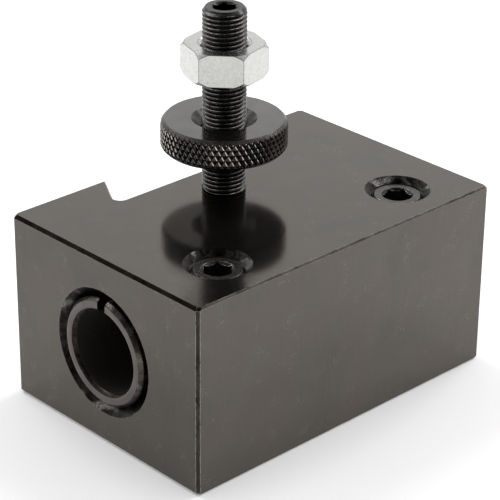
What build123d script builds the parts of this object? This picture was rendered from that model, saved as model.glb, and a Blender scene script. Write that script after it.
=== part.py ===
from build123d import *
import math
import os

# Heavy-duty boring-bar holder for a quick-change tool post.
# Millimetres. The origin is the middle of the block's underside. +X runs along the bore,
# +Y points to the dovetail side that faces the tool post, and +Z is up.

# ---- block -------------------------------------------------------------------------------
block_length = 88.9
block_width = 60.325
block_height = 44.45
block_end_chamfer = 0.7
block_long_edge_chamfer = 0.35

# ---- bore and its split sleeve -----------------------------------------------------------
bore_radius = 12.7
bore_mouth_chamfer = 2.1
bore_height = block_height / 2
sleeve_clearance = 0.03
sleeve_inner_radius = 9.525
sleeve_proud = 0.3
sleeve_slit_width = 2.5
sleeve_outer_chamfer = 0.9
sleeve_inner_chamfer = 0.8

# ---- dovetail slot -----------------------------------------------------------------------
dovetail_depth = 10.8
dovetail_mouth_width = 35.8
dovetail_angle = 60.0
dovetail_corner_radius = 1.8
dovetail_edge_chamfer = 0.4

# ---- height stud and its two nuts --------------------------------------------------------
stud_y = 10.0
stud_radius = 5.0
stud_seat_depth = 9.0
stud_projection = 42.7
stud_end_chamfer = 0.65
stud_socket_flats = 5.0
stud_socket_depth = 5.0
stud_socket_turn = 53.0
stud_socket_mouth_radius = 3.0
stud_hole_clearance = 0.03
nut_clearance = 0.05

knurled_nut_radius = 14.3
knurled_nut_thickness = 6.9
knurled_nut_gap = 9.7
knurled_nut_edge_chamfer = 0.95
knurled_nut_countersink_radius = 7.4

jam_nut_flats = 17.0
jam_nut_thickness = 7.4
jam_nut_gap = 27.0
jam_nut_turn = 12.3
jam_nut_countersink_radius = 5.9
jam_nut_face_share = 1.05
nut_corner_angle = 50.0

# ---- clamp screws and the plugs under them -----------------------------------------------
screw_radius = 5.95
screw_spacing = 55.0
screw_y = -17.7
screw_length = 12.0
screw_recess = 1.25
screw_end_chamfer = 0.7
screw_socket_flats = 6.0
screw_socket_depth = 6.0
screw_socket_mouth_radius = 3.6
screw_socket_turn = {"left_clamp_screw": 47.4, "right_clamp_screw": 17.4}
threaded_hole_radius = 6.0
threaded_hole_depth = 17.0
threaded_hole_mouth_chamfer = 1.4
plug_radius = 5.4
plug_hole_radius = 5.45
plug_hole_depth = 36.0
plug_length = 18.0
plug_top_gap = 0.05
plug_end_chamfer = 0.6
plug_to_sleeve_gap = 0.28

MARGIN = 1.0
TOUCH = 0.01


def standing_cylinder(radius, bottom, height):
    """A cylinder on the Z axis, from the given height upwards."""
    return Pos(0, 0, bottom) * Cylinder(radius, height, align=(Align.CENTER, Align.CENTER, Align.MIN))


def standing_cone(bottom_radius, top_radius, bottom, height):
    """A cone frustum on the Z axis, from the given height upwards."""
    lower = (Align.CENTER, Align.CENTER, Align.MIN)
    return Pos(0, 0, bottom) * Cone(bottom_radius, top_radius, height, align=lower)


def hexagon_prism(across_flats, bottom, height, turn):
    """A six-sided prism on the Z axis with one corner at the given angle from +X."""
    outline = RegularPolygon(across_flats / 2 / math.cos(math.pi / 6), 6)
    return Pos(0, 0, bottom) * extrude(Rot(0, 0, turn) * outline, height)


def dovetail_slot():
    """The female dovetail, cut straight down through the back of the block."""
    back = block_width / 2
    floor = back - dovetail_depth
    half_mouth = dovetail_mouth_width / 2
    half_floor = half_mouth + dovetail_depth / math.tan(math.radians(dovetail_angle))
    outline = Polyline(
        (-half_mouth, back + MARGIN),
        (-half_mouth, back),
        (-half_floor, floor),
        (half_floor, floor),
        (half_mouth, back),
        (half_mouth, back + MARGIN),
        close=True,
    )
    face = make_face(outline)
    floor_corners = face.vertices().filter_by_position(Axis.Y, floor - MARGIN, floor + MARGIN)
    face = fillet(floor_corners, dovetail_corner_radius)
    return Pos(0, 0, -MARGIN) * extrude(face, block_height + 2 * MARGIN)


def hexagon_socket(across_flats, depth, mouth_radius, top, turn):
    """A hexagon socket sunk from the given height, with a 45 degree cone at its mouth."""
    socket = hexagon_prism(across_flats, top - depth, depth + MARGIN, turn)
    sink = mouth_radius - across_flats / 2
    mouth = standing_cone(across_flats / 2, mouth_radius + MARGIN, top - sink, sink + MARGIN)
    return socket + mouth


def bore_tool():
    """The plain bore through the length of the block, with a wide chamfer at each mouth."""
    half = block_length / 2
    tool = standing_cylinder(bore_radius, -half - MARGIN, block_length + 2 * MARGIN)
    mouth_radius = bore_radius + bore_mouth_chamfer
    tool += standing_cone(bore_radius, mouth_radius + MARGIN, half - bore_mouth_chamfer,
                          bore_mouth_chamfer + MARGIN)
    tool += standing_cone(mouth_radius + MARGIN, bore_radius, -half - MARGIN,
                          bore_mouth_chamfer + MARGIN)
    return Pos(0, 0, bore_height) * Rot(0, 90, 0) * tool


def clamp_hole():
    """One stepped clamp hole: threaded at the top, smooth below, with a chamfered mouth."""
    top = block_height
    tool = standing_cylinder(threaded_hole_radius, top - threaded_hole_depth,
                             threaded_hole_depth + MARGIN)
    tool += standing_cylinder(plug_hole_radius, top - plug_hole_depth, plug_hole_depth)
    tool += standing_cone(threaded_hole_radius, threaded_hole_radius + threaded_hole_mouth_chamfer + MARGIN,
                          top - threaded_hole_mouth_chamfer, threaded_hole_mouth_chamfer + MARGIN)
    return tool


def holder_body():
    """The ground steel block with its dovetail, bore, stud seat and two clamp holes."""
    block = Box(block_length, block_width, block_height, align=(Align.CENTER, Align.CENTER, Align.MIN))
    block = chamfer(block.edges().filter_by(Axis.Y) + block.edges().filter_by(Axis.Z), block_end_chamfer)
    block = chamfer(block.edges().filter_by(Axis.X), block_long_edge_chamfer)
    block -= dovetail_slot()
    block = chamfer(slot_edges(block), dovetail_edge_chamfer)
    block -= bore_tool()
    seat = standing_cylinder(stud_radius + stud_hole_clearance, block_height - stud_seat_depth,
                             stud_seat_depth + MARGIN)
    block -= Pos(0, stud_y, 0) * seat
    for side in (-1, 1):
        block -= Pos(side * screw_spacing / 2, screw_y, 0) * clamp_hole()
    return block


def slot_edges(block):
    """The slot's edges on the top and bottom faces, away from the block's own chamfers."""
    half_floor = dovetail_mouth_width / 2 + dovetail_depth / math.tan(math.radians(dovetail_angle))
    reach = half_floor + MARGIN
    deepest = block_width / 2 - dovetail_depth
    kept = []
    for level in (0, block_height):
        for edge in block.edges().filter_by_position(Axis.Z, level - TOUCH, level + TOUCH):
            box = edge.bounding_box()
            inside = abs(edge.center().X) < reach and box.min.Y > deepest - TOUCH
            if inside and box.max.Y < block_width / 2 - block_long_edge_chamfer + TOUCH:
                kept.append(edge)
    return kept


def split_sleeve():
    """The bush in the bore, slit along its top so that it can close on the bar."""
    outer = bore_radius - sleeve_clearance
    length = block_length + 2 * sleeve_proud
    tube = Cylinder(outer, length)
    tube = chamfer(tube.edges().filter_by(GeomType.CIRCLE), sleeve_outer_chamfer)
    tube -= Cylinder(sleeve_inner_radius, length + 2 * MARGIN)
    widest = sleeve_inner_radius + sleeve_inner_chamfer
    mouth = Cone(sleeve_inner_radius, widest + MARGIN, sleeve_inner_chamfer + MARGIN,
                 align=(Align.CENTER, Align.CENTER, Align.MIN))
    upper_mouth = Pos(0, 0, length / 2 - sleeve_inner_chamfer) * mouth
    tube -= upper_mouth
    tube -= Rot(180, 0, 0) * upper_mouth
    tube = Pos(0, 0, bore_height) * Rot(0, 90, 0) * tube
    slit = Box(length + 2 * MARGIN, sleeve_slit_width, outer + MARGIN,
               align=(Align.CENTER, Align.CENTER, Align.MIN))
    return tube - Pos(0, 0, bore_height) * slit


def height_stud():
    """The threaded stud that carries the two nuts, with a hexagon socket in its top."""
    bottom = block_height - stud_seat_depth
    length = stud_seat_depth + stud_projection
    top = bottom + length
    stud = chamfer(standing_cylinder(stud_radius, bottom, length).edges().filter_by(GeomType.CIRCLE),
                   stud_end_chamfer)
    stud -= hexagon_socket(stud_socket_flats, stud_socket_depth, stud_socket_mouth_radius, top,
                           stud_socket_turn)
    return Pos(0, stud_y, 0) * stud


def countersunk_bore(sink_radius, bottom, height):
    """The hole through a nut, opened to a 45 degree countersink at both faces."""
    hole = stud_radius + nut_clearance
    depth = sink_radius - hole
    tool = standing_cylinder(hole, bottom - MARGIN, height + 2 * MARGIN)
    tool += standing_cone(hole, sink_radius + MARGIN, bottom + height - depth, depth + MARGIN)
    tool += standing_cone(sink_radius + MARGIN, hole, bottom - MARGIN, depth + MARGIN)
    return tool


def knurled_nut():
    """The thumb nut that sets the holder's height on the tool post."""
    bottom = block_height + knurled_nut_gap
    disc = standing_cylinder(knurled_nut_radius, bottom, knurled_nut_thickness)
    disc = chamfer(disc.edges().filter_by(GeomType.CIRCLE), knurled_nut_edge_chamfer)
    disc -= countersunk_bore(knurled_nut_countersink_radius, bottom, knurled_nut_thickness)
    return Pos(0, stud_y, 0) * disc


def jam_nut():
    """The hexagon nut that locks the knurled nut, with its corners turned off by cones."""
    bottom = block_height + jam_nut_gap
    slope = math.tan(math.radians(nut_corner_angle))
    rise = jam_nut_flats / 2 * jam_nut_face_share * slope
    body = hexagon_prism(jam_nut_flats, bottom, jam_nut_thickness, jam_nut_turn)
    reach = jam_nut_thickness + rise
    wide = reach / slope
    upper = standing_cone(wide, 0, bottom, reach)
    lower = standing_cone(0, wide, bottom - rise, reach)
    body = body & upper & lower
    body -= countersunk_bore(jam_nut_countersink_radius, bottom, jam_nut_thickness)
    return Pos(0, stud_y, 0) * body


def clamp_screw(name, side):
    """A socket set screw, a little below the top face."""
    top = block_height - screw_recess
    screw = chamfer(standing_cylinder(screw_radius, top - screw_length, screw_length).edges()
                    .filter_by(GeomType.CIRCLE), screw_end_chamfer)
    screw -= hexagon_socket(screw_socket_flats, screw_socket_depth, screw_socket_mouth_radius, top,
                            screw_socket_turn[name])
    return Pos(side * screw_spacing / 2, screw_y, 0) * screw


def clamp_plug(side):
    """A sliding plug whose side is hollowed to the sleeve above and cut flat below."""
    top = block_height - screw_recess - screw_length - plug_top_gap
    plug = standing_cylinder(plug_radius, top - plug_length, plug_length)
    plug = chamfer(plug.edges().filter_by(GeomType.CIRCLE), plug_end_chamfer)
    plug = Pos(side * screw_spacing / 2, screw_y, 0) * plug
    hollow_radius = bore_radius + plug_to_sleeve_gap
    hollow = Pos(0, 0, bore_height) * Rot(0, 90, 0) * Cylinder(hollow_radius, block_length)
    flat = Pos(0, -hollow_radius, -MARGIN) * Box(block_length, hollow_radius, bore_height + MARGIN,
                                                 align=(Align.CENTER, Align.MIN, Align.MIN))
    return plug - hollow - flat


def build():
    """Every piece of the holder, by node name."""
    return {
        "holder_body": holder_body(),
        "split_sleeve": split_sleeve(),
        "height_stud": height_stud(),
        "knurled_nut": knurled_nut(),
        "jam_nut": jam_nut(),
        "left_clamp_screw": clamp_screw("left_clamp_screw", -1),
        "right_clamp_screw": clamp_screw("right_clamp_screw", 1),
        "left_clamp_plug": clamp_plug(-1),
        "right_clamp_plug": clamp_plug(1),
    }


os.makedirs("parts", exist_ok=True)
for node, shape in build().items():
    export_step(shape, f"parts/{node}.step")
    print(node, round(shape.volume, 1))
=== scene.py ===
import math

import bmesh
import bpy
from mathutils import Matrix, Vector


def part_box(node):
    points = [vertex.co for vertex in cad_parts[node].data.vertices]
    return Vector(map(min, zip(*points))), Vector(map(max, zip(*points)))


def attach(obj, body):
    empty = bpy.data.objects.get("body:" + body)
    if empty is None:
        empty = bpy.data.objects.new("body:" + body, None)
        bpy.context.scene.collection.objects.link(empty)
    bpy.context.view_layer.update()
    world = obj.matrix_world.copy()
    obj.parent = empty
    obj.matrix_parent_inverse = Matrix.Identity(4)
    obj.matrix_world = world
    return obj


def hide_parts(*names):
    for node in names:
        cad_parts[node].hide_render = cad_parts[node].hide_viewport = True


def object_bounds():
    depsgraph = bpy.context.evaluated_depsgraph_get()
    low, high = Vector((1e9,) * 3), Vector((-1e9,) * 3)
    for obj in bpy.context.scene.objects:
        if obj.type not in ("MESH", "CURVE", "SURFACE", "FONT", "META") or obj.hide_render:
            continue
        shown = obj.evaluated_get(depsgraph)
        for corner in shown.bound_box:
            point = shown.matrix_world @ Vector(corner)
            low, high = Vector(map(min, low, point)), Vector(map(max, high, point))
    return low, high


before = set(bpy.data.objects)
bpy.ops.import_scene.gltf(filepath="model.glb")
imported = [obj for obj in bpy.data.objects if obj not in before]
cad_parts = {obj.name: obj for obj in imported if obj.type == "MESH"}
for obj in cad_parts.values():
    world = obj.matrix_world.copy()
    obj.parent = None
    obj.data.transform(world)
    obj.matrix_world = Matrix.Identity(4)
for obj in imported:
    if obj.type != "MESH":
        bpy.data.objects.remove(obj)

# Boring-bar holder for a quick-change tool post: the looks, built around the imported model.
# Lengths are in metres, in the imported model's own frame. MM turns millimetres into metres.

MM = 0.001
cad_low, cad_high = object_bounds()

# ---- places taken from the frame ----
block_low, block_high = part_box("holder_body")
sleeve_low, sleeve_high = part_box("split_sleeve")
stud_low, stud_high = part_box("height_stud")
knurl_low, knurl_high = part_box("knurled_nut")
jam_low, jam_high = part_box("jam_nut")

TOP = block_high.z
HALF_LENGTH = block_high.x
HALF_WIDTH = block_high.y
BORE_Z = (sleeve_low.z + sleeve_high.z) / 2
STUD_Y = (stud_low.y + stud_high.y) / 2

# ---- sizes that the model's boxes don't give ----
END_CHAMFER = 0.7 * MM
LONG_EDGE_CHAMFER = 0.35 * MM
SLOT_DEPTH = 10.8 * MM
SLOT_HALF_MOUTH = 17.9 * MM
SLOT_ANGLE = math.radians(60)
SLOT_CORNER_RADIUS = 1.8 * MM
BORE_RADIUS = 12.7 * MM
BORE_MOUTH_CHAMFER = 2.1 * MM
STUD_HOLE_RADIUS = 5.03 * MM
STUD_HOLE_DEPTH = 9.0 * MM
THREADED_HOLE_RADIUS = 6.0 * MM
THREADED_HOLE_DEPTH = 17.0 * MM
THREADED_HOLE_CHAMFER = 1.4 * MM
THREADED_HOLE_GROOVE = 0.35 * MM
PLUG_HOLE_RADIUS = 5.45 * MM
PLUG_HOLE_DEPTH = 36.0 * MM
BLOCK_ROUNDING = 0.1 * MM

SLEEVE_INNER_RADIUS = 9.525 * MM
SLEEVE_INNER_CHAMFER = 0.8 * MM
SLEEVE_OUTER_CHAMFER = 0.9 * MM
SLEEVE_SLIT = 2.5 * MM
SLEEVE_ROUNDING = 0.08 * MM

FINE_PITCH = 1.0 * MM
THREAD_DEPTH = 0.58 * MM
THREAD_CLEARANCE = 0.02 * MM
THREAD_RUB_DEPTH = 0.08 * MM
ROD_END_ROUNDING = 0.1 * MM
STUD_FLATS = 5.0 * MM
STUD_SOCKET_DEPTH = 5.0 * MM
STUD_SOCKET_MOUTH = 3.0 * MM
STUD_SOCKET_TURN = math.radians(53)
STUD_END_CHAMFER = 0.63 * MM

SCREW_END_CHAMFER = 0.68 * MM
SCREW_FLATS = 6.0 * MM
SCREW_SOCKET_DEPTH = 6.0 * MM
SCREW_SOCKET_MOUTH = 3.6 * MM
SCREW_TURNS = {"left_clamp_screw": math.radians(47.4), "right_clamp_screw": math.radians(17.4)}
SCREW_MIDDLES = {name: (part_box(name)[0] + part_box(name)[1]) / 2 for name in SCREW_TURNS}

NUT_BORE_RADIUS = 5.05 * MM
NUT_THREAD_GROOVE = 0.4 * MM

KNURL_SINK_RADIUS = 7.4 * MM
KNURL_EDGE = 0.95 * MM
KNURL_DIAMONDS = 60
KNURL_DIAMOND_HEIGHT = 2.5 * MM
KNURL_DEPTH = 0.42 * MM
# The band of each diamond's upper right flank, in shares of the knurl's depth, that gets a painted glint.
KNURL_GLINT_START = 0.5
KNURL_GLINT_END = 0.72

JAM_FLATS = 17.0 * MM
JAM_SINK_RADIUS = 5.9 * MM
JAM_FACE_SHARE = 1.05
JAM_TURN = math.radians(12.3)
JAM_SLOPE = math.tan(math.radians(50))
JAM_ROUNDING = 0.2 * MM

# ---- how much of a face's normal points along an axis, for each kind of face ----
SQUARE_ON = 0.999
LEVEL = 0.9
RIM_SLOPE = 0.6
THREAD_SLOPE = 0.5
STEEP_SLOPE = 0.3
EDGE_ON = 0.1

SHARP_ANGLE = math.radians(25)


# ---- mesh helpers ----
def ring(radius, z, count, turn=0.0):
    """A circle of points about the Z axis. radius and z may be functions of the angle."""
    points = []
    for i in range(count):
        angle = turn + 2 * math.pi * i / count
        r = radius(angle) if callable(radius) else radius
        level = z(angle) if callable(z) else z
        points.append(Vector((r * math.cos(angle), r * math.sin(angle), level)))
    return points


def moved(rings, centre):
    """The rings, shifted to a middle."""
    shift = Vector(centre)
    return [[p + shift for p in points] for points in rings]


def mesh_from_rings(name, rings, close_loop=False, cap_start=False, cap_end=False, rising=None):
    """Faces between neighbouring rings of equal count, with the ends left open, capped or joined.

    They are quads, or triangles when rising(row, column) says which of their diagonals is folded.
    """
    bm = bmesh.new()
    rows = [[bm.verts.new(p) for p in points] for points in rings]
    count = len(rows[0])
    pairs = list(zip(rows, rows[1:]))
    if close_loop:
        pairs.append((rows[-1], rows[0]))
    for row, (lower, upper) in enumerate(pairs):
        for i in range(count):
            j = (i + 1) % count
            if rising is None:
                bm.faces.new((lower[i], lower[j], upper[j], upper[i]))
            elif rising(row, i):
                bm.faces.new((lower[i], lower[j], upper[j]))
                bm.faces.new((lower[i], upper[j], upper[i]))
            else:
                bm.faces.new((lower[i], lower[j], upper[i]))
                bm.faces.new((lower[j], upper[j], upper[i]))
    if cap_start:
        bm.faces.new(list(reversed(rows[0])))
    if cap_end:
        bm.faces.new(rows[-1])
    return finish_bmesh(name, bm)


def finish_bmesh(name, bm):
    """Makes the mesh, cleaned."""
    mesh = bpy.data.meshes.new(name)
    clean_into(mesh, bm)
    return mesh


def clean_into(mesh, bm):
    """Welds doubled points, drops faces without area, turns the others outwards and fills the mesh."""
    near = MM / 10000
    bmesh.ops.remove_doubles(bm, verts=bm.verts, dist=near)
    bmesh.ops.dissolve_degenerate(bm, edges=bm.edges, dist=near)
    bmesh.ops.recalc_face_normals(bm, faces=bm.faces)
    bm.to_mesh(mesh)
    bm.free()


def add_object(name, mesh):
    """A new object in the scene with the given mesh."""
    obj = bpy.data.objects.new(name, mesh)
    bpy.context.scene.collection.objects.link(obj)
    return obj


def apply_modifiers(obj):
    """Replaces the object's mesh with the result of its modifiers."""
    bpy.context.view_layer.update()
    graph = bpy.context.evaluated_depsgraph_get()
    result = bpy.data.meshes.new_from_object(obj.evaluated_get(graph))
    obj.modifiers.clear()
    obj.data = result


def smooth(obj, sharp_degrees=35.0, weighted=True):
    """Smooth shading with sharp edges kept, and flat faces left flat."""
    for polygon in obj.data.polygons:
        polygon.use_smooth = True
    obj.data.set_sharp_from_angle(angle=math.radians(sharp_degrees))
    if weighted:
        modifier = obj.modifiers.new("weighted", "WEIGHTED_NORMAL")
        modifier.keep_sharp = True
        apply_modifiers(obj)


def round_edges(obj, width, index):
    """Rounds the sharp edges, with the material at the index, and drops the flats it uses up."""
    modifier = obj.modifiers.new("edges", "BEVEL")
    modifier.width = width
    modifier.segments = 2
    modifier.limit_method = "ANGLE"
    modifier.angle_limit = SHARP_ANGLE
    modifier.use_clamp_overlap = True
    modifier.material = index
    apply_modifiers(obj)
    bm = bmesh.new()
    bm.from_mesh(obj.data)
    clean_into(obj.data, bm)


def place(obj, body, node, materials):
    """Puts the materials on a piece, and hands it to the frame in place of its CAD node."""
    for material in materials:
        obj.data.materials.append(material)
    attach(obj, body)
    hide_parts(node)


# ---- materials ----
class Finish:
    """A Principled material with helpers for noise-driven colour, roughness and bump."""

    # The dot of the rounded normal with the true one, where an edge begins and where it is full.
    FLAT_DOT = 0.995
    TURNED_DOT = 0.93
    # Levels of noise, where wear, nicks and clusters of nicks begin, and how softly they do.
    WEAR_START = 0.7
    WEAR_SPAN = 0.4
    WEAR_SOFTNESS = 0.12
    SPECK_SOFTNESS = 0.06
    CLUSTER_START = 0.56
    CLUSTER_END = 0.66

    def __init__(self, name, base, metallic, roughness):
        self.material = bpy.data.materials.new(name)
        self.material.use_nodes = True
        self.nodes = self.material.node_tree.nodes
        self.links = self.material.node_tree.links
        self.shader = self.nodes["Principled BSDF"]
        self.shader.inputs["Base Color"].default_value = (*base, 1.0)
        self.shader.inputs["Metallic"].default_value = metallic
        self.shader.inputs["Roughness"].default_value = roughness
        self.coordinates = self.nodes.new("ShaderNodeTexCoord").outputs["Object"]
        self.bumped = None

    def stretched(self, scale):
        """Object coordinates scaled differently along each axis."""
        mapping = self.nodes.new("ShaderNodeMapping")
        mapping.inputs["Scale"].default_value = scale
        self.links.new(self.coordinates, mapping.inputs["Vector"])
        return mapping.outputs["Vector"]

    def noise(self, size, detail=3.0, vector=None, distortion=0.0):
        """A noise whose features are about size metres across."""
        texture = self.nodes.new("ShaderNodeTexNoise")
        texture.inputs["Scale"].default_value = 1.0 / size
        texture.inputs["Detail"].default_value = detail
        texture.inputs["Distortion"].default_value = distortion
        self.links.new(vector or self.coordinates, texture.inputs["Vector"])
        return texture.outputs["Fac"]

    def remap(self, value, low, high, from_low=0.3, from_high=0.7):
        """A value stretched from one range to another, and held at its ends."""
        node = self.nodes.new("ShaderNodeMapRange")
        node.inputs["From Min"].default_value = from_low
        node.inputs["From Max"].default_value = from_high
        node.inputs["To Min"].default_value = low
        node.inputs["To Max"].default_value = high
        self.links.new(value, node.inputs["Value"])
        return node.outputs["Result"]

    def combine(self, operation, first, second):
        """Arithmetic between two values."""
        node = self.nodes.new("ShaderNodeMath")
        node.operation = operation
        self.links.new(first, node.inputs[0])
        self.links.new(second, node.inputs[1])
        return node.outputs["Value"]

    def mix(self, factor, first, second):
        """A colour between two, by factor. Either may be a colour or another node's output."""
        node = self.nodes.new("ShaderNodeMix")
        node.data_type = "RGBA"
        self.links.new(factor, node.inputs["Factor"])
        for socket, colour in ((node.inputs["A"], first), (node.inputs["B"], second)):
            if isinstance(colour, tuple):
                socket.default_value = (*colour, 1.0)
            else:
                self.links.new(colour, socket)
        return node.outputs["Result"]

    def edges(self, width, raggedness, share=0.5):
        """1 on the worn parts of the edges and 0 elsewhere: a rounded normal against the true one.

        share is about how much of an edge's length is worn.
        """
        rounded = self.nodes.new("ShaderNodeBevel")
        rounded.samples = 4
        rounded.inputs["Radius"].default_value = width
        true = self.nodes.new("ShaderNodeNewGeometry")
        dot = self.nodes.new("ShaderNodeVectorMath")
        dot.operation = "DOT_PRODUCT"
        self.links.new(rounded.outputs["Normal"], dot.inputs[0])
        self.links.new(true.outputs["Normal"], dot.inputs[1])
        edge = self.remap(dot.outputs["Value"], 1.0, 0.0, self.TURNED_DOT, self.FLAT_DOT)
        start = self.WEAR_START - self.WEAR_SPAN * share
        ragged = self.remap(self.noise(raggedness, 5.0), 0.0, 1.0, start, start + self.WEAR_SOFTNESS)
        return self.combine("MULTIPLY", edge, ragged)

    def specks(self, size, spread, rarity):
        """Small nicks of the given size, in clusters as wide as the spread."""
        fine = self.remap(self.noise(size, 1.0), 0.0, 1.0, rarity, rarity + self.SPECK_SOFTNESS)
        cluster = self.remap(self.noise(spread, 1.0), 0.0, 1.0, self.CLUSTER_START, self.CLUSTER_END)
        return self.combine("MULTIPLY", fine, cluster)

    def colour(self, value):
        """Takes the base colour from a node's output."""
        self.links.new(value, self.shader.inputs["Base Color"])

    def roughness(self, value):
        """Takes the roughness from a node's output."""
        self.links.new(value, self.shader.inputs["Roughness"])

    def bump(self, height, strength, distance):
        """Adds a bump on top of any bump that is already there."""
        node = self.nodes.new("ShaderNodeBump")
        node.inputs["Strength"].default_value = strength
        node.inputs["Distance"].default_value = distance
        self.links.new(height, node.inputs["Height"])
        if self.bumped is not None:
            self.links.new(self.bumped, node.inputs["Normal"])
        self.bumped = node.outputs["Normal"]
        self.links.new(self.bumped, self.shader.inputs["Normal"])


def ground_oxide(name, shade):
    """Ground steel under black oxide: a dark, slightly blurred mirror with faint grinding lines.

    shade darkens it below 1, as painted shade for the end faces.
    """
    def tint(*colour):
        return tuple(shade * part for part in colour)

    finish = Finish(name, tint(0.104, 0.096, 0.086), 0.965, 0.1)
    cloud = finish.remap(finish.noise(22 * MM, 4.0, distortion=0.6), 0.0, 1.0)
    warm = finish.remap(finish.noise(9 * MM, 3.0), 0.0, 1.0, 0.35, 0.75)
    lines = finish.noise(0.9 * MM, 3.0, finish.stretched((4.0, 4.0, 0.12)))
    grain = finish.noise(0.4 * MM, 3.0)
    grey = finish.mix(cloud, tint(0.088, 0.084, 0.078), tint(0.112, 0.102, 0.089))
    grey = finish.mix(warm, grey, tint(0.11, 0.094, 0.081))
    streaked = finish.mix(finish.remap(lines, 0.0, 0.35), grey, tint(0.13, 0.121, 0.109))
    nicked = finish.mix(finish.specks(0.28 * MM, 5 * MM, 0.635), streaked, (0.21, 0.2, 0.187))
    finish.colour(finish.mix(finish.edges(0.22 * MM, 1.2 * MM, 0.5), nicked, (0.4, 0.385, 0.36)))
    rough = finish.combine("ADD", finish.remap(cloud, 0.075, 0.115, 0.0, 1.0),
                           finish.remap(lines, 0.0, 0.04))
    finish.roughness(rough)
    finish.bump(lines, 0.07, 0.01 * MM)
    finish.bump(grain, 0.07, 0.01 * MM)
    return finish.material


def dark_edge_painted_shade():
    """The chamfers across the block's ends: milled, and painted nearly black as painted shade for the dark
    they mirror.
    """
    finish = Finish("dark_edge_painted_shade", (0.006, 0.005, 0.004), 0.995, 0.26)
    patch = finish.remap(finish.noise(3 * MM, 4.0), 0.0, 1.0)
    dark = finish.mix(patch, (0.004, 0.003, 0.002), (0.011, 0.009, 0.007))
    finish.colour(finish.mix(finish.edges(0.1 * MM, 0.6 * MM, 0.2), dark, (0.3, 0.29, 0.27)))
    finish.roughness(finish.remap(patch, 0.2, 0.32, 0.0, 1.0))
    finish.bump(finish.noise(0.4 * MM, 3.0), 0.2, 0.02 * MM)
    return finish.material


def corner_edge_painted_shade():
    """The block's upright corners: painted brownish black as painted shade, with bright lines where
    handling wore them.
    """
    finish = Finish("corner_edge_painted_shade", (0.03, 0.026, 0.023), 0.97, 0.3)
    patch = finish.remap(finish.noise(4 * MM, 4.0), 0.0, 1.0)
    brown = finish.mix(patch, (0.02, 0.017, 0.015), (0.045, 0.039, 0.034))
    finish.colour(finish.mix(finish.edges(0.2 * MM, 0.7 * MM, 0.9), brown, (0.6, 0.58, 0.545)))
    finish.roughness(finish.remap(patch, 0.24, 0.36, 0.0, 1.0))
    finish.bump(finish.noise(0.4 * MM, 3.0), 0.2, 0.02 * MM)
    return finish.material


def eased_edge():
    """The long edges, only eased with a stone: nearly as light as the faces, with dark patches."""
    finish = Finish("eased_edge", (0.09, 0.087, 0.08), 0.965, 0.2)
    patch = finish.remap(finish.noise(5 * MM, 4.0), 0.0, 1.0, 0.4, 0.6)
    grey = finish.mix(patch, (0.05, 0.046, 0.042), (0.15, 0.142, 0.13))
    finish.colour(finish.mix(finish.edges(0.1 * MM, 0.8 * MM, 0.5), grey, (0.3, 0.29, 0.28)))
    finish.roughness(finish.remap(patch, 0.3, 0.16, 0.0, 1.0))
    finish.bump(finish.noise(0.5 * MM, 3.0), 0.2, 0.02 * MM)
    return finish.material


def turned_chamfer(name, low, high, rarity):
    """A countersunk mouth: cut by a chattering tool, with ragged bright flecks."""
    finish = Finish(name, low, 0.985, 0.32)
    chatter = finish.noise(0.5 * MM, 5.0, distortion=1.5)
    streaks = finish.remap(finish.noise(1.6 * MM, 4.0, distortion=0.8), 0.0, 1.0, 0.42, 0.62)
    dark = finish.mix(streaks, low, high)
    flecked = finish.mix(finish.specks(0.1 * MM, 5 * MM, rarity), dark, (0.5, 0.49, 0.46))
    finish.colour(finish.mix(finish.edges(0.12 * MM, 0.4 * MM, 0.3), flecked, (0.2, 0.19, 0.18)))
    finish.roughness(finish.remap(chatter, 0.24, 0.42))
    finish.bump(chatter, 0.5, 0.05 * MM)
    return finish.material


def bore_wall():
    """Honed bore under thick, sooty oxide."""
    finish = Finish("bore_wall", (0.05, 0.045, 0.037), 0.7, 0.42)
    hone = finish.noise(0.6 * MM, 3.0, finish.stretched((4.0, 1.0, 1.0)))
    sooty = finish.mix(finish.remap(hone, 0.0, 1.0), (0.055, 0.05, 0.041), (0.09, 0.083, 0.07))
    finish.colour(finish.mix(finish.edges(0.2 * MM, 0.6 * MM), sooty, (0.2, 0.18, 0.16)))
    finish.roughness(finish.remap(hone, 0.33, 0.5))
    finish.bump(hone, 0.15, 0.02 * MM)
    return finish.material


def milled_slot():
    """The dovetail's flanks and floor: milled, with cutter lines that run up and down."""
    finish = Finish("milled_slot", (0.105, 0.1, 0.095), 0.965, 0.2)
    cutter = finish.noise(0.8 * MM, 2.0, finish.stretched((6.0, 6.0, 0.06)))
    cloud = finish.remap(finish.noise(12 * MM, 3.0), 0.0, 1.0)
    grey = finish.mix(cloud, (0.085, 0.082, 0.077), (0.12, 0.117, 0.11))
    finish.colour(finish.mix(finish.edges(0.3 * MM, 1.2 * MM), grey, (0.3, 0.29, 0.28)))
    finish.roughness(finish.remap(cutter, 0.15, 0.3))
    finish.bump(cutter, 0.2, 0.03 * MM)
    return finish.material


def sleeve_oxide():
    """The sleeve's turned steel, a shade warmer than the block."""
    finish = Finish("sleeve_oxide", (0.11, 0.1, 0.092), 0.965, 0.22)
    cloud = finish.remap(finish.noise(5 * MM, 3.0), 0.0, 1.0)
    warm = finish.mix(cloud, (0.09, 0.081, 0.074), (0.124, 0.111, 0.102))
    finish.colour(finish.mix(finish.edges(0.15 * MM, 0.8 * MM), warm, (0.3, 0.27, 0.25)))
    fine = finish.noise(0.3 * MM, 2.0)
    finish.roughness(finish.remap(fine, 0.17, 0.3))
    finish.bump(fine, 0.08, 0.01 * MM)
    return finish.material


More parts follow.
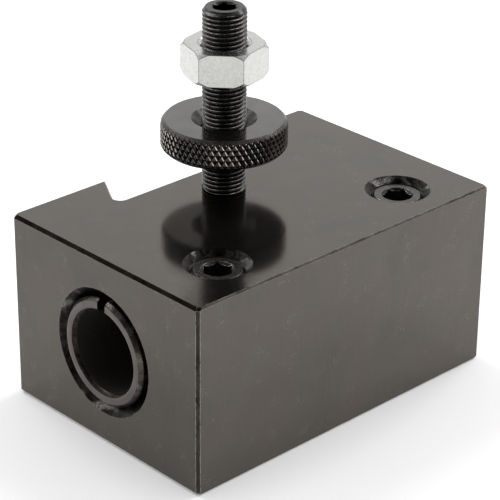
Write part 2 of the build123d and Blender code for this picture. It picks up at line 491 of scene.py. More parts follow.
def thread_oxide():
    """Threads under oily black oxide."""
    finish = Finish("thread_oxide", (0.04, 0.039, 0.036), 0.96, 0.22)
    patch = finish.remap(finish.noise(2.0 * MM, 3.0), 0.0, 1.0)
    dark = finish.mix(patch, (0.026, 0.025, 0.023), (0.055, 0.053, 0.05))
    finish.colour(finish.mix(finish.edges(0.08 * MM, 0.5 * MM), dark, (0.16, 0.155, 0.148)))
    grain = finish.noise(0.25 * MM, 3.0)
    finish.roughness(finish.remap(grain, 0.15, 0.3))
    finish.bump(grain, 0.12, 0.02 * MM)
    return finish.material


def rubbed_and_glint_oxide(name, low, high):
    """Brighter, smoother oxide in patches: wear where the nuts rubbed the stud's crests, and a painted
    glint on the knurl's flanks.
    """
    finish = Finish(name, low, 0.97, 0.18)
    patch = finish.remap(finish.noise(0.8 * MM, 4.0), 0.0, 1.0)
    finish.colour(finish.mix(patch, low, high))
    grain = finish.noise(0.25 * MM, 3.0)
    finish.roughness(finish.remap(grain, 0.14, 0.26))
    finish.bump(grain, 0.08, 0.01 * MM)
    return finish.material


def knurl_face_oxide():
    """The knurled nut's turned faces: a dark mirror with faint turning rings."""
    finish = Finish("knurl_face_oxide", (0.13, 0.127, 0.12), 0.965, 0.12)
    cloud = finish.remap(finish.noise(6 * MM, 3.0), 0.0, 1.0)
    grey = finish.mix(cloud, (0.115, 0.112, 0.106), (0.145, 0.141, 0.133))
    finish.colour(finish.mix(finish.edges(0.15 * MM, 0.9 * MM), grey, (0.3, 0.29, 0.28)))
    finish.roughness(finish.remap(finish.noise(1.5 * MM, 3.0), 0.09, 0.16))
    finish.bump(finish.noise(0.3 * MM, 2.0), 0.05, 0.01 * MM)
    return finish.material


def knurl_oxide():
    """The knurl's flanks: oily dark oxide."""
    finish = Finish("knurl_oxide", (0.05, 0.044, 0.04), 0.96, 0.2)
    patch = finish.remap(finish.noise(3.0 * MM, 3.0), 0.0, 1.0)
    finish.colour(finish.mix(patch, (0.025, 0.022, 0.02), (0.058, 0.052, 0.047)))
    grain = finish.noise(0.2 * MM, 2.0)
    finish.roughness(finish.remap(grain, 0.15, 0.28))
    finish.bump(grain, 0.1, 0.02 * MM)
    return finish.material


def screw_oxide():
    """The clamp screws' black oxide, greyer on the end faces."""
    finish = Finish("screw_oxide", (0.09, 0.087, 0.082), 0.96, 0.28)
    patch = finish.remap(finish.noise(1.5 * MM, 3.0), 0.0, 1.0)
    grey = finish.mix(patch, (0.07, 0.068, 0.064), (0.12, 0.116, 0.11))
    finish.colour(finish.mix(finish.edges(0.12 * MM, 0.6 * MM), grey, (0.42, 0.41, 0.39)))
    grain = finish.noise(0.25 * MM, 3.0)
    finish.roughness(finish.remap(grain, 0.2, 0.36))
    finish.bump(grain, 0.25, 0.02 * MM)
    return finish.material


def worn_rim():
    """Chamfers on the screws: black in the middle, with bright worn lines along their borders."""
    finish = Finish("worn_rim", (0.02, 0.019, 0.018), 0.97, 0.3)
    patch = finish.remap(finish.noise(1.5 * MM, 3.0), 0.0, 1.0)
    dark = finish.mix(patch, (0.014, 0.013, 0.012), (0.04, 0.038, 0.035))
    finish.colour(finish.mix(finish.edges(0.2 * MM, 0.9 * MM, 0.7), dark, (0.66, 0.64, 0.61)))
    finish.roughness(finish.remap(patch, 0.26, 0.4, 0.0, 1.0))
    finish.bump(finish.noise(0.25 * MM, 3.0), 0.2, 0.02 * MM)
    return finish.material


def zinc_plate():
    """Bright zinc: pale, faintly mottled, and painted darker along the edges as painted shade."""
    finish = Finish("zinc_plate", (0.56, 0.56, 0.54), 1.0, 0.28)
    mottle = finish.remap(finish.noise(0.9 * MM, 4.0), 0.0, 1.0)
    pale = finish.mix(mottle, (0.53, 0.53, 0.51), (0.61, 0.61, 0.595))
    spotted = finish.mix(finish.specks(0.4 * MM, 2.5 * MM, 0.62), pale, (0.42, 0.42, 0.41))
    # Painted shade: dark lines along the edges.
    finish.colour(finish.mix(finish.edges(0.32 * MM, 2.0 * MM, 1.1), spotted, (0.07, 0.07, 0.068)))
    grain = finish.noise(0.3 * MM, 3.0)
    finish.roughness(finish.remap(grain, 0.18, 0.3))
    finish.bump(grain, 0.12, 0.02 * MM)
    return finish.material


def zinc_edge_painted_shade():
    """The zinc nut's rounded edges, painted dark grey as painted shade."""
    finish = Finish("zinc_edge_painted_shade", (0.2, 0.2, 0.195), 1.0, 0.3)
    patch = finish.remap(finish.noise(1.6 * MM, 4.0), 0.0, 1.0)
    finish.colour(finish.mix(patch, (0.09, 0.09, 0.088), (0.3, 0.3, 0.29)))
    grain = finish.noise(0.3 * MM, 3.0)
    finish.roughness(finish.remap(grain, 0.22, 0.36))
    finish.bump(grain, 0.12, 0.02 * MM)
    return finish.material


def plug_steel():
    """Plain turned steel for the hidden plugs."""
    finish = Finish("plug_steel", (0.3, 0.29, 0.27), 1.0, 0.3)
    cloud = finish.remap(finish.noise(2.0 * MM, 3.0), 0.0, 1.0)
    grey = finish.mix(cloud, (0.24, 0.23, 0.215), (0.34, 0.33, 0.31))
    finish.colour(finish.mix(finish.edges(0.2 * MM, 0.8 * MM), grey, (0.5, 0.49, 0.47)))
    finish.roughness(finish.remap(finish.noise(0.4 * MM), 0.24, 0.38))
    finish.bump(finish.noise(0.3 * MM), 0.1, 0.01 * MM)
    return finish.material


def floor_paint():
    """Pale studio floor with the faintest mottling."""
    finish = Finish("floor_paint", (0.92, 0.92, 0.92), 0.0, 0.7)
    cloud = finish.remap(finish.noise(60 * MM, 3.0), 0.0, 1.0)
    finish.colour(finish.mix(cloud, (0.91, 0.91, 0.91), (0.93, 0.93, 0.93)))
    finish.shader.inputs["Emission Color"].default_value = (1.0, 1.0, 1.0, 1.0)
    finish.shader.inputs["Emission Strength"].default_value = FLOOR_GLOW
    return finish.material


# ---- block ----
# The end faces take a darker copy of the ground oxide: painted shade.
END_PAINTED_SHADE = 0.87
BORE_SEGMENTS = 160
HOLE_SEGMENTS = 96
CUTTER_OVERSHOOT = 1.0 * MM
GROUND, EDGE, MOUTH, WALL, SLOT, EASED, CORNER, HOLE, END = range(9)


def slot_outline():
    """The dovetail slot's plan from its left mouth to its right, with rounded inner corners."""
    floor = HALF_WIDTH - SLOT_DEPTH
    half_floor = SLOT_HALF_MOUTH + SLOT_DEPTH / math.tan(SLOT_ANGLE)
    reach = SLOT_CORNER_RADIUS / math.tan(SLOT_ANGLE / 2)
    centre = Vector((half_floor - reach, floor + SLOT_CORNER_RADIUS))
    start = math.radians(-90)
    sweep = math.pi - SLOT_ANGLE
    steps = 10
    right = []
    for i in range(steps + 1):
        angle = start + sweep * i / steps
        right.append((centre.x + SLOT_CORNER_RADIUS * math.cos(angle),
                      centre.y + SLOT_CORNER_RADIUS * math.sin(angle)))
    right.append((SLOT_HALF_MOUTH, HALF_WIDTH))
    left = [(-x, y) for x, y in reversed(right)]
    return left + right


def block_outline():
    """The block's plan, anticlockwise, and which of its edges run along the ends and not the sides."""
    c = END_CHAMFER
    x, y = HALF_LENGTH, HALF_WIDTH
    corners = [(-x, y - c), (-x, c - y), (c - x, -y), (x - c, -y), (x, c - y), (x, y - c), (x - c, y)]
    slot = list(reversed(slot_outline()))
    points = corners + slot + [(c - x, y)]
    tiny = MM / 1000
    at_ends = []
    for index, (px, py) in enumerate(points):
        nx, ny = points[(index + 1) % len(points)]
        at_ends.append(max(abs(px), abs(nx)) > x - tiny and abs(py - ny) > tiny)
    return points, at_ends


def inset_outline(points, insets):
    """Each point moved inwards, to where its two edges meet once they are shifted by their insets."""
    count = len(points)
    corners = []
    for i in range(count):
        before, here, after = (Vector(points[(i + k) % count]) for k in (-1, 0, 1))
        first = (here - before).normalized()
        second = (after - here).normalized()
        normal_1 = Vector((-first.y, first.x))
        normal_2 = Vector((-second.y, second.x))
        inset_1, inset_2 = insets[i - 1], insets[i]
        cross = normal_1.x * normal_2.y - normal_1.y * normal_2.x
        in_line = abs(cross) < 1e-6
        if in_line:
            corners.append(here + normal_1 * inset_1)
            continue
        shift = Vector(((inset_1 * normal_2.y - inset_2 * normal_1.y) / cross,
                        (inset_2 * normal_1.x - inset_1 * normal_2.x) / cross))
        corners.append(here + shift)
    return corners


def block_blank():
    """The block before drilling, with a wide chamfer along its end edges and a narrow one elsewhere."""
    points, at_ends = block_outline()
    wide, narrow = END_CHAMFER, LONG_EDGE_CHAMFER
    shoulder = inset_outline(points, [wide - narrow if end else 0.0 for end in at_ends])
    inner = inset_outline(points, [wide if end else narrow for end in at_ends])
    levels = [(inner, block_low.z), (shoulder, block_low.z + narrow), (points, block_low.z + wide),
              (points, TOP - wide), (shoulder, TOP - narrow), (inner, TOP)]
    rings = [[Vector((p[0], p[1], z)) for p in outline] for outline, z in levels]
    return add_object("holder_block", mesh_from_rings("holder_block", rings, cap_start=True, cap_end=True))


def lathe(name, profile, count, centre, along_x=False):
    """A closed solid of revolution from (radius, height) points, about the Z axis or the X axis."""
    rings = [ring(r, z, count) for r, z in profile]
    if along_x:
        rings = [[Vector((p.z, p.x, p.y)) for p in points] for points in rings]
    rings = moved(rings, centre)
    return add_object(name, mesh_from_rings(name, rings, cap_start=True, cap_end=True))


def bore_cutter():
    """The bore through the block's length, with a wide chamfer at both mouths."""
    half = HALF_LENGTH
    out = CUTTER_OVERSHOOT
    wide = BORE_RADIUS + BORE_MOUTH_CHAMFER
    profile = [(wide + out, -half - out), (BORE_RADIUS, -half + BORE_MOUTH_CHAMFER),
               (BORE_RADIUS, half - BORE_MOUTH_CHAMFER), (wide + out, half + out)]
    return lathe("bore_cutter", profile, BORE_SEGMENTS, (0, 0, BORE_Z), along_x=True)


def groove(radius, depth, level, direction):
    """The (radius, height) points of one thread groove in a hole, going up (1) or down (-1)."""
    step = direction * FINE_PITCH
    first_lip, bottom, last_lip = (level + share * step for share in (0.1, 0.5, 0.9))
    return [(radius, first_lip), (radius + depth, bottom), (radius, last_lip)]


def clamp_hole_cutter(x, y):
    """The stepped clamp hole, with thread grooves down its upper part."""
    wide = THREADED_HOLE_RADIUS + THREADED_HOLE_CHAMFER
    profile = [(PLUG_HOLE_RADIUS, TOP - PLUG_HOLE_DEPTH), (PLUG_HOLE_RADIUS, TOP - THREADED_HOLE_DEPTH),
               (THREADED_HOLE_RADIUS, TOP - THREADED_HOLE_DEPTH)]
    turns = int((THREADED_HOLE_DEPTH - THREADED_HOLE_CHAMFER) / FINE_PITCH)
    base = TOP - THREADED_HOLE_CHAMFER - turns * FINE_PITCH
    for i in range(turns):
        profile += groove(THREADED_HOLE_RADIUS, THREADED_HOLE_GROOVE, base + i * FINE_PITCH, 1)
    profile.append((THREADED_HOLE_RADIUS, TOP - THREADED_HOLE_CHAMFER))
    profile.append((wide + CUTTER_OVERSHOOT, TOP + CUTTER_OVERSHOOT))
    return lathe("clamp_hole_cutter", profile, HOLE_SEGMENTS, (x, y, 0))


def stud_hole_cutter():
    """The plain hole that the stud stands in."""
    profile = [(STUD_HOLE_RADIUS, TOP - STUD_HOLE_DEPTH), (STUD_HOLE_RADIUS, TOP + CUTTER_OVERSHOOT)]
    return lathe("stud_hole_cutter", profile, HOLE_SEGMENTS, (0, STUD_Y, 0))


def paint_block(obj):
    """Gives each face of the block its finish, by where it lies and how it faces."""
    near = 0.05 * MM
    margin = 0.2 * MM
    slot_reach = HALF_LENGTH * 0.6
    for polygon in obj.data.polygons:
        centre, normal = polygon.center, polygon.normal
        radial = math.hypot(centre.y, centre.z - BORE_Z)
        on_end = HALF_LENGTH - abs(centre.x)
        if abs(normal.x) > SQUARE_ON and on_end < near:
            index = END
        elif abs(normal.z) > SQUARE_ON and min(TOP - centre.z, centre.z - block_low.z) < near:
            index = GROUND
        elif abs(normal.y) > SQUARE_ON and HALF_WIDTH - abs(centre.y) < near:
            index = GROUND
        elif radial < BORE_RADIUS + near:
            index = WALL
        elif radial < BORE_RADIUS + BORE_MOUTH_CHAMFER + margin and on_end < BORE_MOUTH_CHAMFER:
            index = MOUTH
        elif in_hole(centre, THREADED_HOLE_CHAMFER):
            index = HOLE
        elif in_hole(centre, PLUG_HOLE_DEPTH):
            index = WALL
        elif centre.y > HALF_WIDTH - SLOT_DEPTH - near and abs(centre.x) < slot_reach:
            index = SLOT if abs(normal.z) < EDGE_ON else EASED
        elif abs(normal.x) < EDGE_ON:
            index = EASED
        elif abs(normal.y) < EDGE_ON:
            index = EDGE
        else:
            index = CORNER
        polygon.material_index = index


def in_hole(point, depth):
    """Whether a point lies in the clamp holes or the stud's hole, down to a depth."""
    margin = 0.2 * MM
    reach = THREADED_HOLE_RADIUS + THREADED_HOLE_CHAMFER + margin
    if TOP - point.z > depth:
        return False
    for middle in SCREW_MIDDLES.values():
        if math.hypot(point.x - middle.x, point.y - middle.y) < reach:
            return True
    return math.hypot(point.x, point.y - STUD_Y) < STUD_HOLE_RADIUS + margin


def make_block():
    """The ground block, with its bore, holes and dovetail."""
    block = block_blank()
    cutters = [bore_cutter(), stud_hole_cutter()]
    for middle in SCREW_MIDDLES.values():
        cutters.append(clamp_hole_cutter(middle.x, middle.y))
    for cutter in cutters:
        modifier = block.modifiers.new("cut", "BOOLEAN")
        modifier.operation = "DIFFERENCE"
        modifier.solver = "EXACT"
        modifier.object = cutter
        apply_modifiers(block)
        bpy.data.objects.remove(cutter)
    round_outer_edges(block, BLOCK_ROUNDING)
    mouth = turned_chamfer("mouth_chamfer", (0.008, 0.007, 0.006), (0.024, 0.022, 0.019), 0.53)
    # The holes' chamfers are painted nearly black: painted shade in the recess.
    hole_mouth = turned_chamfer("hole_chamfer_painted_shade", (0.004, 0.004, 0.003), (0.022, 0.02, 0.018), 0.52)
    # The last finish is painted shade for the end faces: a darker copy of the ground oxide.
    paint = [ground_oxide("ground_oxide", 1.0), dark_edge_painted_shade(), mouth, bore_wall(), milled_slot(),
             eased_edge(), corner_edge_painted_shade(), hole_mouth, ground_oxide("ground_end_oxide_painted_shade", END_PAINTED_SHADE)]
    place(block, "holder", "holder_body", paint)
    paint_block(block)
    smooth(block)


def round_outer_edges(obj, width):
    """Rounds the block's outside edges and the rims of its holes, and leaves its inside alone."""
    bm = bmesh.new()
    bm.from_mesh(obj.data)
    layer = bm.edges.layers.float.new("bevel_weight_edge")
    skin = 2.5 * MM
    for edge in bm.edges:
        middle = (edge.verts[0].co + edge.verts[1].co) / 2
        depth = min(TOP - middle.z, middle.z - block_low.z, HALF_LENGTH - abs(middle.x))
        outside = depth < END_CHAMFER * 1.5 or HALF_WIDTH - abs(middle.y) < skin
        turned = len(edge.link_faces) == 2 and edge.calc_face_angle() > SHARP_ANGLE
        edge[layer] = 1.0 if outside and turned else 0.0
    bm.to_mesh(obj.data)
    bm.free()
    modifier = obj.modifiers.new("edges", "BEVEL")
    modifier.width = width
    modifier.segments = 2
    modifier.limit_method = "WEIGHT"
    apply_modifiers(obj)


# ---- sleeve ----
SLEEVE_SKIN, SLEEVE_BORE, OUTER_CHAMFER, INNER_CHAMFER = range(4)


def make_sleeve():
    """The bush, swept around the bore from one side of its slit to the other."""
    outer = (sleeve_high.y - sleeve_low.y) / 2
    start, end = sleeve_low.x, sleeve_high.x
    ic, oc, soft = SLEEVE_INNER_CHAMFER, SLEEVE_OUTER_CHAMFER, SLEEVE_ROUNDING
    less, more = 0.3 * soft, 0.7 * soft
    inner = SLEEVE_INNER_RADIUS
    half = [(inner, start + ic + soft), (inner + less, start + ic),
            (inner + ic - soft, start + more), (inner + ic + soft, start),
            (outer - oc - soft, start), (outer - oc + more, start + less),
            (outer - less, start + oc - less), (outer, start + oc + soft)]
    profile = half + [(r, start + end - x) for r, x in reversed(half)]
    steps = 240
    bm = bmesh.new()
    rows = []
    for i in range(steps + 1):
        row = []
        for r, x in profile:
            gap = math.asin(SLEEVE_SLIT / 2 / r)
            angle = math.pi / 2 + gap + (2 * math.pi - 2 * gap) * i / steps
            row.append(bm.verts.new((x, r * math.cos(angle), BORE_Z + r * math.sin(angle))))
        rows.append(row)
    count = len(profile)
    for first, second in zip(rows, rows[1:]):
        for k in range(count):
            bm.faces.new((first[k], first[(k + 1) % count], second[(k + 1) % count], second[k]))
    bm.faces.new(rows[0])
    bm.faces.new(rows[-1])
    sleeve = add_object("sleeve_bush", finish_bmesh("sleeve_bush", bm))
    outside = turned_chamfer("sleeve_chamfer", (0.04, 0.034, 0.03), (0.085, 0.075, 0.067), 0.58)
    inside = turned_chamfer("sleeve_mouth", (0.012, 0.01, 0.008), (0.032, 0.026, 0.022), 0.66)
    place(sleeve, "sleeve", "split_sleeve", [sleeve_oxide(), bore_wall(), outside, inside])
    for polygon in sleeve.data.polygons:
        radial = math.hypot(polygon.center.y, polygon.center.z - BORE_Z)
        sloping = STEEP_SLOPE < abs(polygon.normal.x) < LEVEL
        if sloping:
            polygon.material_index = OUTER_CHAMFER if radial > inner + ic + soft else INNER_CHAMFER
        elif radial < inner + soft:
            polygon.material_index = SLEEVE_BORE
        else:
            polygon.material_index = SLEEVE_SKIN
    smooth(sleeve)


# ---- threads ----
# Slot of the second finish: wear on the stud's crests and the screws' rims, painted shade on the zinc
# nut's rounded edges.
WEAR_AND_SHADE = 1


def thread_radius(phase, crest, depth):
    """The radius of a rolled thread, with its crests and roots rounded, at a phase from 0 to 1."""
    return crest - depth * (0.5 + 0.5 * math.cos(2 * math.pi * phase))


def hexagon_radius(flats, turn):
    """The distance from the middle to a hexagon's side, as a function of the angle."""
    def radius(angle):
        inside = (angle - turn) % (math.pi / 3) - math.pi / 6
        return flats / 2 / math.cos(inside)
    return radius


def threaded_mesh(name, centre, low, high, crest, end_radius, socket):
    """A rod with a helical thread, chamfered ends and a hexagon socket in its top."""
    flats, depth, mouth, turn = socket
    drill_point = flats / 5
    count = 96
    rows_per_pitch = 12
    lip = ROD_END_ROUNDING
    spare_turns = 3
    turns = int((high - low) / FINE_PITCH) + spare_turns
    bm = bmesh.new()

    def point(column, row):
        """A point of the helical sheet. Past the rod's ends it is held at the end's rim."""
        angle = turn + 2 * math.pi * column / count
        z = low - FINE_PITCH + FINE_PITCH * (row / rows_per_pitch + column / count)
        r = thread_radius((row % rows_per_pitch) / rows_per_pitch, crest, THREAD_DEPTH)
        z = min(max(z, low), high - lip)
        r = min(r, end_radius + (high - lip - z), end_radius + (z - low))
        return Vector((centre[0] + r * math.cos(angle), centre[1] + r * math.sin(angle), z))

    rows = turns * rows_per_pitch
    grid = [[bm.verts.new(point(column, row)) for column in range(count + 1)] for row in range(rows + 1)]
    for row in range(rows):
        for column in range(count):
            bm.faces.new((grid[row][column], grid[row][column + 1],
                          grid[row + 1][column + 1], grid[row + 1][column]))
    hexagon = hexagon_radius(flats, turn)

    def mouth_edge(angle):
        return high - (mouth - hexagon(angle))

    caps = [ring(end_radius, high - lip, count, turn), ring(end_radius - lip, high, count, turn),
            ring(mouth, high, count, turn), ring(hexagon, mouth_edge, count, turn),
            ring(hexagon, high - depth, count, turn)]
    add_rings(bm, caps, centre)
    floor_fan(bm, caps[-1], high - depth - drill_point, centre)
    floor_fan(bm, ring(end_radius, low, count, turn), low, centre)
    return finish_bmesh(name, bm)


def add_rings(bm, rings, centre):
    """Quads between neighbouring rings, shifted to a middle."""
    rows = [[bm.verts.new(p) for p in points] for points in moved(rings, (*centre, 0))]
    count = len(rows[0])
    for lower, upper in zip(rows, rows[1:]):
        for i in range(count):
            j = (i + 1) % count
            bm.faces.new((lower[i], lower[j], upper[j], upper[i]))


def floor_fan(bm, points, level, centre):
    """Closes a ring with triangles that meet at one point on the axis."""
    rim = [bm.verts.new(p) for p in moved([points], (*centre, 0))[0]]
    middle = bm.verts.new((centre[0], centre[1], level))
    for i in range(len(rim)):
        bm.faces.new((rim[i], rim[(i + 1) % len(rim)], middle))


def mark_beyond(obj, centre, radius, index):
    """Gives a material to the faces that lie outside a radius about an upright axis."""
    for polygon in obj.data.polygons:
        away = math.hypot(polygon.center.x - centre[0], polygon.center.y - centre[1])
        upright = abs(polygon.normal.z) < THREAD_SLOPE
        if away > radius and upright:
            polygon.material_index = index


def mark_sloping(obj, above, index):
    """Gives a material to the faces above a height that lean at 26 to 60 degrees."""
    for polygon in obj.data.polygons:
        if polygon.center.z > above and THREAD_SLOPE < polygon.normal.z < LEVEL:
            polygon.material_index = index


def make_stud():
    """The stud, with its crests rubbed by the nuts."""
    crest = (stud_high.x - stud_low.x) / 2 - THREAD_CLEARANCE
    socket = (STUD_FLATS, STUD_SOCKET_DEPTH, STUD_SOCKET_MOUTH, STUD_SOCKET_TURN)
    mesh = threaded_mesh("stud_thread", (0, STUD_Y), stud_low.z, stud_high.z, crest,
                         crest - STUD_END_CHAMFER, socket)
    stud = add_object("stud_thread", mesh)
    rubbed = rubbed_and_glint_oxide("rubbed_crest", (0.06, 0.058, 0.055), (0.5, 0.485, 0.46))
    place(stud, "holder", "height_stud", [thread_oxide(), rubbed])
    mark_beyond(stud, (0, STUD_Y), crest - THREAD_RUB_DEPTH, WEAR_AND_SHADE)
    smooth(stud, 40, weighted=False)


def make_screw(node, body, materials):
    """One clamp screw, with a worn rim and socket mouth."""
    low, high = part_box(node)
    middle = SCREW_MIDDLES[node]
    crest = (high.x - low.x) / 2 - THREAD_CLEARANCE
    socket = (SCREW_FLATS, SCREW_SOCKET_DEPTH, SCREW_SOCKET_MOUTH, SCREW_TURNS[node])
    mesh = threaded_mesh(node + "_thread", (middle.x, middle.y), low.z, high.z, crest,
                         crest - SCREW_END_CHAMFER, socket)
    screw = add_object(node + "_thread", mesh)
    place(screw, body, node, materials)
    rim_depth = 1.2 * MM
    mark_sloping(screw, high.z - rim_depth, WEAR_AND_SHADE)
    smooth(screw, 40, weighted=False)


# ---- nuts ----
KNURL_FLANK, KNURL_FACE, KNURL_PAINTED_GLINT, KNURL_THREAD, KNURL_RIM = range(5)


def threaded_bore_rings(bottom, top, sink_radius, count, turn=0.0):
    """Rings from the top countersink down through a grooved bore to the bottom one."""
    depth = sink_radius - NUT_BORE_RADIUS
    rings = [ring(sink_radius, top, count, turn), ring(NUT_BORE_RADIUS, top - depth, count, turn)]
    level = top - depth
    while level - FINE_PITCH > bottom + depth:
        for radius, height in groove(NUT_BORE_RADIUS, NUT_THREAD_GROOVE, level, -1):
            rings.append(ring(radius, height, count, turn))
        level -= FINE_PITCH
    rings.append(ring(NUT_BORE_RADIUS, bottom + depth, count, turn))
    rings.append(ring(sink_radius, bottom, count, turn))
    return rings


def triangle_wave(value):
    """0 at whole numbers and 1 half-way between them."""
    return 1.0 - abs(2.0 * (value - math.floor(value)) - 1.0)


def make_knurled_nut():
    """The thumb nut, with its diamonds as real relief."""
    samples = 8
    count = KNURL_DIAMONDS * samples
    radius = (knurl_high.x - knurl_low.x) / 2
    bottom, top = knurl_low.z, knurl_high.z
    face = radius - KNURL_EDGE
    step = KNURL_DIAMOND_HEIGHT / samples

    def relief(angle, z):
        around = KNURL_DIAMONDS * angle / (2 * math.pi)
        along = (z - bottom) / KNURL_DIAMOND_HEIGHT
        height = min(triangle_wave(around + along), triangle_wave(around - along))
        r = radius - KNURL_DEPTH * (1.0 - height)
        return min(r, face + (top - z), face + (z - bottom))

    rings = [ring(face, bottom, count)]
    levels = int((top - bottom) / step)
    for i in range(1, levels + 1):
        z = bottom + i * step
        if z < top - 0.3 * step:
            rings.append([Vector((relief(a, z) * math.cos(a), relief(a, z) * math.sin(a), z))
                          for a in (2 * math.pi * k / count for k in range(count))])
    rings.append(ring(face, top, count))
    rings += threaded_bore_rings(bottom, top, KNURL_SINK_RADIUS, count)
    mesh = mesh_from_rings("knurled_thumb_nut", moved(rings, (0, STUD_Y, 0)), close_loop=True,
                           rising=lambda row, column: (column - row) % samples == 0)
    nut = add_object("knurled_thumb_nut", mesh)
    # The bright finish on the knurl's flanks is a painted glint.
    rubbed = rubbed_and_glint_oxide("knurl_painted_glint", (0.34, 0.32, 0.3), (0.72, 0.69, 0.65))
    rim = turned_chamfer("knurl_rim", (0.05, 0.045, 0.041), (0.075, 0.069, 0.064), 0.7)
    finishes = [knurl_oxide(), knurl_face_oxide(), rubbed, thread_oxide(), rim]
    place(nut, "height_nut", "knurled_nut", finishes)
    paint_knurled_nut(nut, radius)
    smooth(nut, 12, weighted=False)


def paint_knurled_nut(nut, radius):
    """Gives each face its finish. The band half-way up each diamond's upper right flank gets a painted
    glint.
    """
    for polygon in nut.data.polygons:
        x, y = polygon.center.x, polygon.center.y - STUD_Y
        away = math.hypot(x, y)
        depth = (radius - away) / KNURL_DEPTH
        normal = polygon.normal
        rightwards = (normal.y * x - normal.x * y) / away
        if away < KNURL_SINK_RADIUS:
            polygon.material_index = KNURL_THREAD
        elif abs(normal.z) > LEVEL:
            polygon.material_index = KNURL_FACE
        elif abs(normal.z) > RIM_SLOPE:
            polygon.material_index = KNURL_RIM
        # Painted glint: a band of the flanks that face rightwards and up.
        elif KNURL_GLINT_START < depth < KNURL_GLINT_END and rightwards > 0.2 and normal.z > 0.05:
            polygon.material_index = KNURL_PAINTED_GLINT
        else:
            polygon.material_index = KNURL_FLANK


def make_jam_nut():
    """The hexagon nut: flat sides, with the corners of both faces turned off by a cone."""
    count = 144
    bottom, top = jam_low.z, jam_high.z
    side = hexagon_radius(JAM_FLATS, JAM_TURN)
    face = JAM_FLATS / 2 * JAM_FACE_SHARE

    def flat_edge(angle):
        return min(side(angle), face)

    def turned_off(angle):
        return (side(angle) - flat_edge(angle)) * JAM_SLOPE

    rings = [ring(flat_edge, bottom, count, JAM_TURN),
             ring(side, lambda angle: bottom + turned_off(angle), count, JAM_TURN),
             ring(side, lambda angle: top - turned_off(angle), count, JAM_TURN),
             ring(flat_edge, top, count, JAM_TURN)]
    rings += threaded_bore_rings(bottom, top, JAM_SINK_RADIUS, count, JAM_TURN)
    mesh = mesh_from_rings("hexagon_lock_nut", moved(rings, (0, STUD_Y, 0)), close_loop=True)
    nut = add_object("hexagon_lock_nut", mesh)
    place(nut, "lock_nut", "jam_nut", [zinc_plate(), zinc_edge_painted_shade()])
    # The rounded edges take the darker zinc: painted shade.
    round_edges(nut, JAM_ROUNDING, WEAR_AND_SHADE)
    smooth(nut)


# ---- plugs ----
def paint_plugs():
    """The hidden plugs keep their CAD meshes, and take a finish."""
    steel = plug_steel()
    for node in ("left_clamp_plug", "right_clamp_plug"):
        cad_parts[node].data.materials[0] = steel


# ---- studio ----
CAMERA_PLACE = (-0.29981, -0.31171, 0.24635)
CAMERA_HEADING = 43.767
CAMERA_TILT = 26.377
CAMERA_ROLL = 0.611
CAMERA_LENS = 154.71
CAMERA_SENSOR = 36.0
CAMERA_CLIP_START = 0.01

SOFTBOX_SIZE = 0.5
SOFTBOX_POWER = {"back_left": 3.6, "back_right": 4.4}
SOFTBOXES = {"back_left": (-0.09, 0.63, 0.77), "back_right": (0.635, -0.064, 0.77)}

FLOOR_REACH = 4.0
FLOOR_GLOW = 0.24

WORLD_STRENGTH = 1.02
HORIZON_TOP = 0.52
HORIZON_COLOUR = (1.0, 1.0, 1.0, 1.0)
OVERHEAD_START = 0.62
OVERHEAD_COLOUR = (0.5, 0.5, 0.51, 1.0)
DARK_ROOM_SHARE = 0.15
DARK_ROOM_HEADING = CAMERA_HEADING
DARK_ROOM_INSIDE = math.radians(29.0)
DARK_ROOM_OUTSIDE = math.radians(39.5)
DARK_ROOM_FOOT = -0.02
DARK_ROOM_SILL = 0.03


def make_camera():
    """Long lens, from above the corner between the bore's end and the plain side."""
    data = bpy.data.cameras.new("camera")
    data.lens = CAMERA_LENS
    data.sensor_width = CAMERA_SENSOR
    data.clip_start = CAMERA_CLIP_START
    camera = bpy.data.objects.new("camera", data)
    bpy.context.scene.collection.objects.link(camera)
    turn = (Matrix.Rotation(math.radians(-CAMERA_HEADING), 4, "Z")
            @ Matrix.Rotation(math.radians(90 - CAMERA_TILT), 4, "X")
            @ Matrix.Rotation(math.radians(CAMERA_ROLL), 4, "Z"))
    camera.matrix_world = Matrix.Translation(CAMERA_PLACE) @ turn
    bpy.context.scene.camera = camera


def make_floor():
    """A wide level floor under the object."""
    reach = FLOOR_REACH
    bm = bmesh.new()
    corners = [(-reach, -reach), (reach, -reach), (reach, reach), (-reach, reach)]
    bm.faces.new([bm.verts.new((x, y, cad_low.z)) for x, y in corners])
    floor = add_object("floor", finish_bmesh("floor", bm))
    floor.data.materials.append(floor_paint())


def add_softbox(name, position):
    """A square lamp that faces the object."""
    data = bpy.data.lights.new(name, "AREA")
    data.shape = "SQUARE"
    data.size = SOFTBOX_SIZE
    data.energy = SOFTBOX_POWER[name]
    light = bpy.data.objects.new(name, data)
    bpy.context.scene.collection.objects.link(light)
    light.location = position
    light.rotation_euler = (-Vector(position)).to_track_quat("-Z", "Y").to_euler()


def make_world():
    """White surroundings near the horizon, grey overhead, and a darker room behind the camera."""
    world = bpy.data.worlds.new("studio")
    bpy.context.scene.world = world
    world.use_nodes = True
    nodes, links = world.node_tree.nodes, world.node_tree.links
    background = nodes["Background"]
    direction = nodes.new("ShaderNodeTexCoord").outputs["Generated"]
    parts = nodes.new("ShaderNodeSeparateXYZ")
    links.new(direction, parts.inputs["Vector"])
    height = parts.outputs["Z"]
    links.new(world_colour(nodes, links, height), background.inputs["Color"])
    links.new(world_strength(nodes, links, direction, height), background.inputs["Strength"])


def world_colour(nodes, links, height):
    """White near the horizon and grey overhead."""
    ramp = nodes.new("ShaderNodeValToRGB")
    links.new(height, ramp.inputs["Fac"])
    stops = ramp.color_ramp.elements
    stops[0].position, stops[0].color = HORIZON_TOP, HORIZON_COLOUR
    stops[1].position, stops[1].color = OVERHEAD_START, OVERHEAD_COLOUR
    return ramp.outputs["Color"]


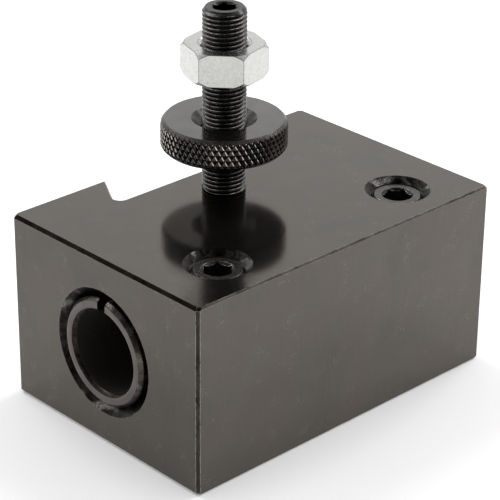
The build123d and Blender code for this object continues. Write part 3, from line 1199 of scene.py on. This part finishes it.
def world_strength(nodes, links, direction, height):
    """Even, apart from the darker part of the room, which keeps to its compass direction."""
    flat = nodes.new("ShaderNodeVectorMath")
    flat.operation = "MULTIPLY"
    flat.inputs[1].default_value = (1.0, 1.0, 0.0)
    links.new(direction, flat.inputs[0])
    level = nodes.new("ShaderNodeVectorMath")
    level.operation = "NORMALIZE"
    links.new(flat.outputs["Vector"], level.inputs[0])
    toward_room = nodes.new("ShaderNodeVectorMath")
    toward_room.operation = "DOT_PRODUCT"
    links.new(level.outputs["Vector"], toward_room.inputs[0])
    heading = math.radians(DARK_ROOM_HEADING)
    toward_room.inputs[1].default_value = (-math.sin(heading), -math.cos(heading), 0.0)
    behind = nodes.new("ShaderNodeMapRange")
    behind.inputs["From Min"].default_value = math.cos(DARK_ROOM_OUTSIDE)
    behind.inputs["From Max"].default_value = math.cos(DARK_ROOM_INSIDE)
    links.new(toward_room.outputs["Value"], behind.inputs["Value"])
    above = nodes.new("ShaderNodeMapRange")
    above.inputs["From Min"].default_value = DARK_ROOM_FOOT
    above.inputs["From Max"].default_value = DARK_ROOM_SILL
    links.new(height, above.inputs["Value"])
    dark = nodes.new("ShaderNodeMath")
    dark.operation = "MULTIPLY"
    links.new(behind.outputs["Result"], dark.inputs[0])
    links.new(above.outputs["Result"], dark.inputs[1])
    strength = nodes.new("ShaderNodeMapRange")
    strength.inputs["To Min"].default_value = WORLD_STRENGTH
    strength.inputs["To Max"].default_value = WORLD_STRENGTH * DARK_ROOM_SHARE
    links.new(dark.outputs["Value"], strength.inputs["Value"])
    return strength.outputs["Result"]


make_camera()
make_floor()
make_world()
for box_name, box_position in SOFTBOXES.items():
    add_softbox(box_name, box_position)
bpy.context.scene.view_settings.view_transform = "Standard"

make_block()
make_sleeve()
make_stud()
screw_finishes = [screw_oxide(), worn_rim()]
for node_name, body_name in (("left_clamp_screw", "left_screw"), ("right_clamp_screw", "right_screw")):
    make_screw(node_name, body_name, screw_finishes)
make_knurled_nut()
make_jam_nut()
paint_plugs()
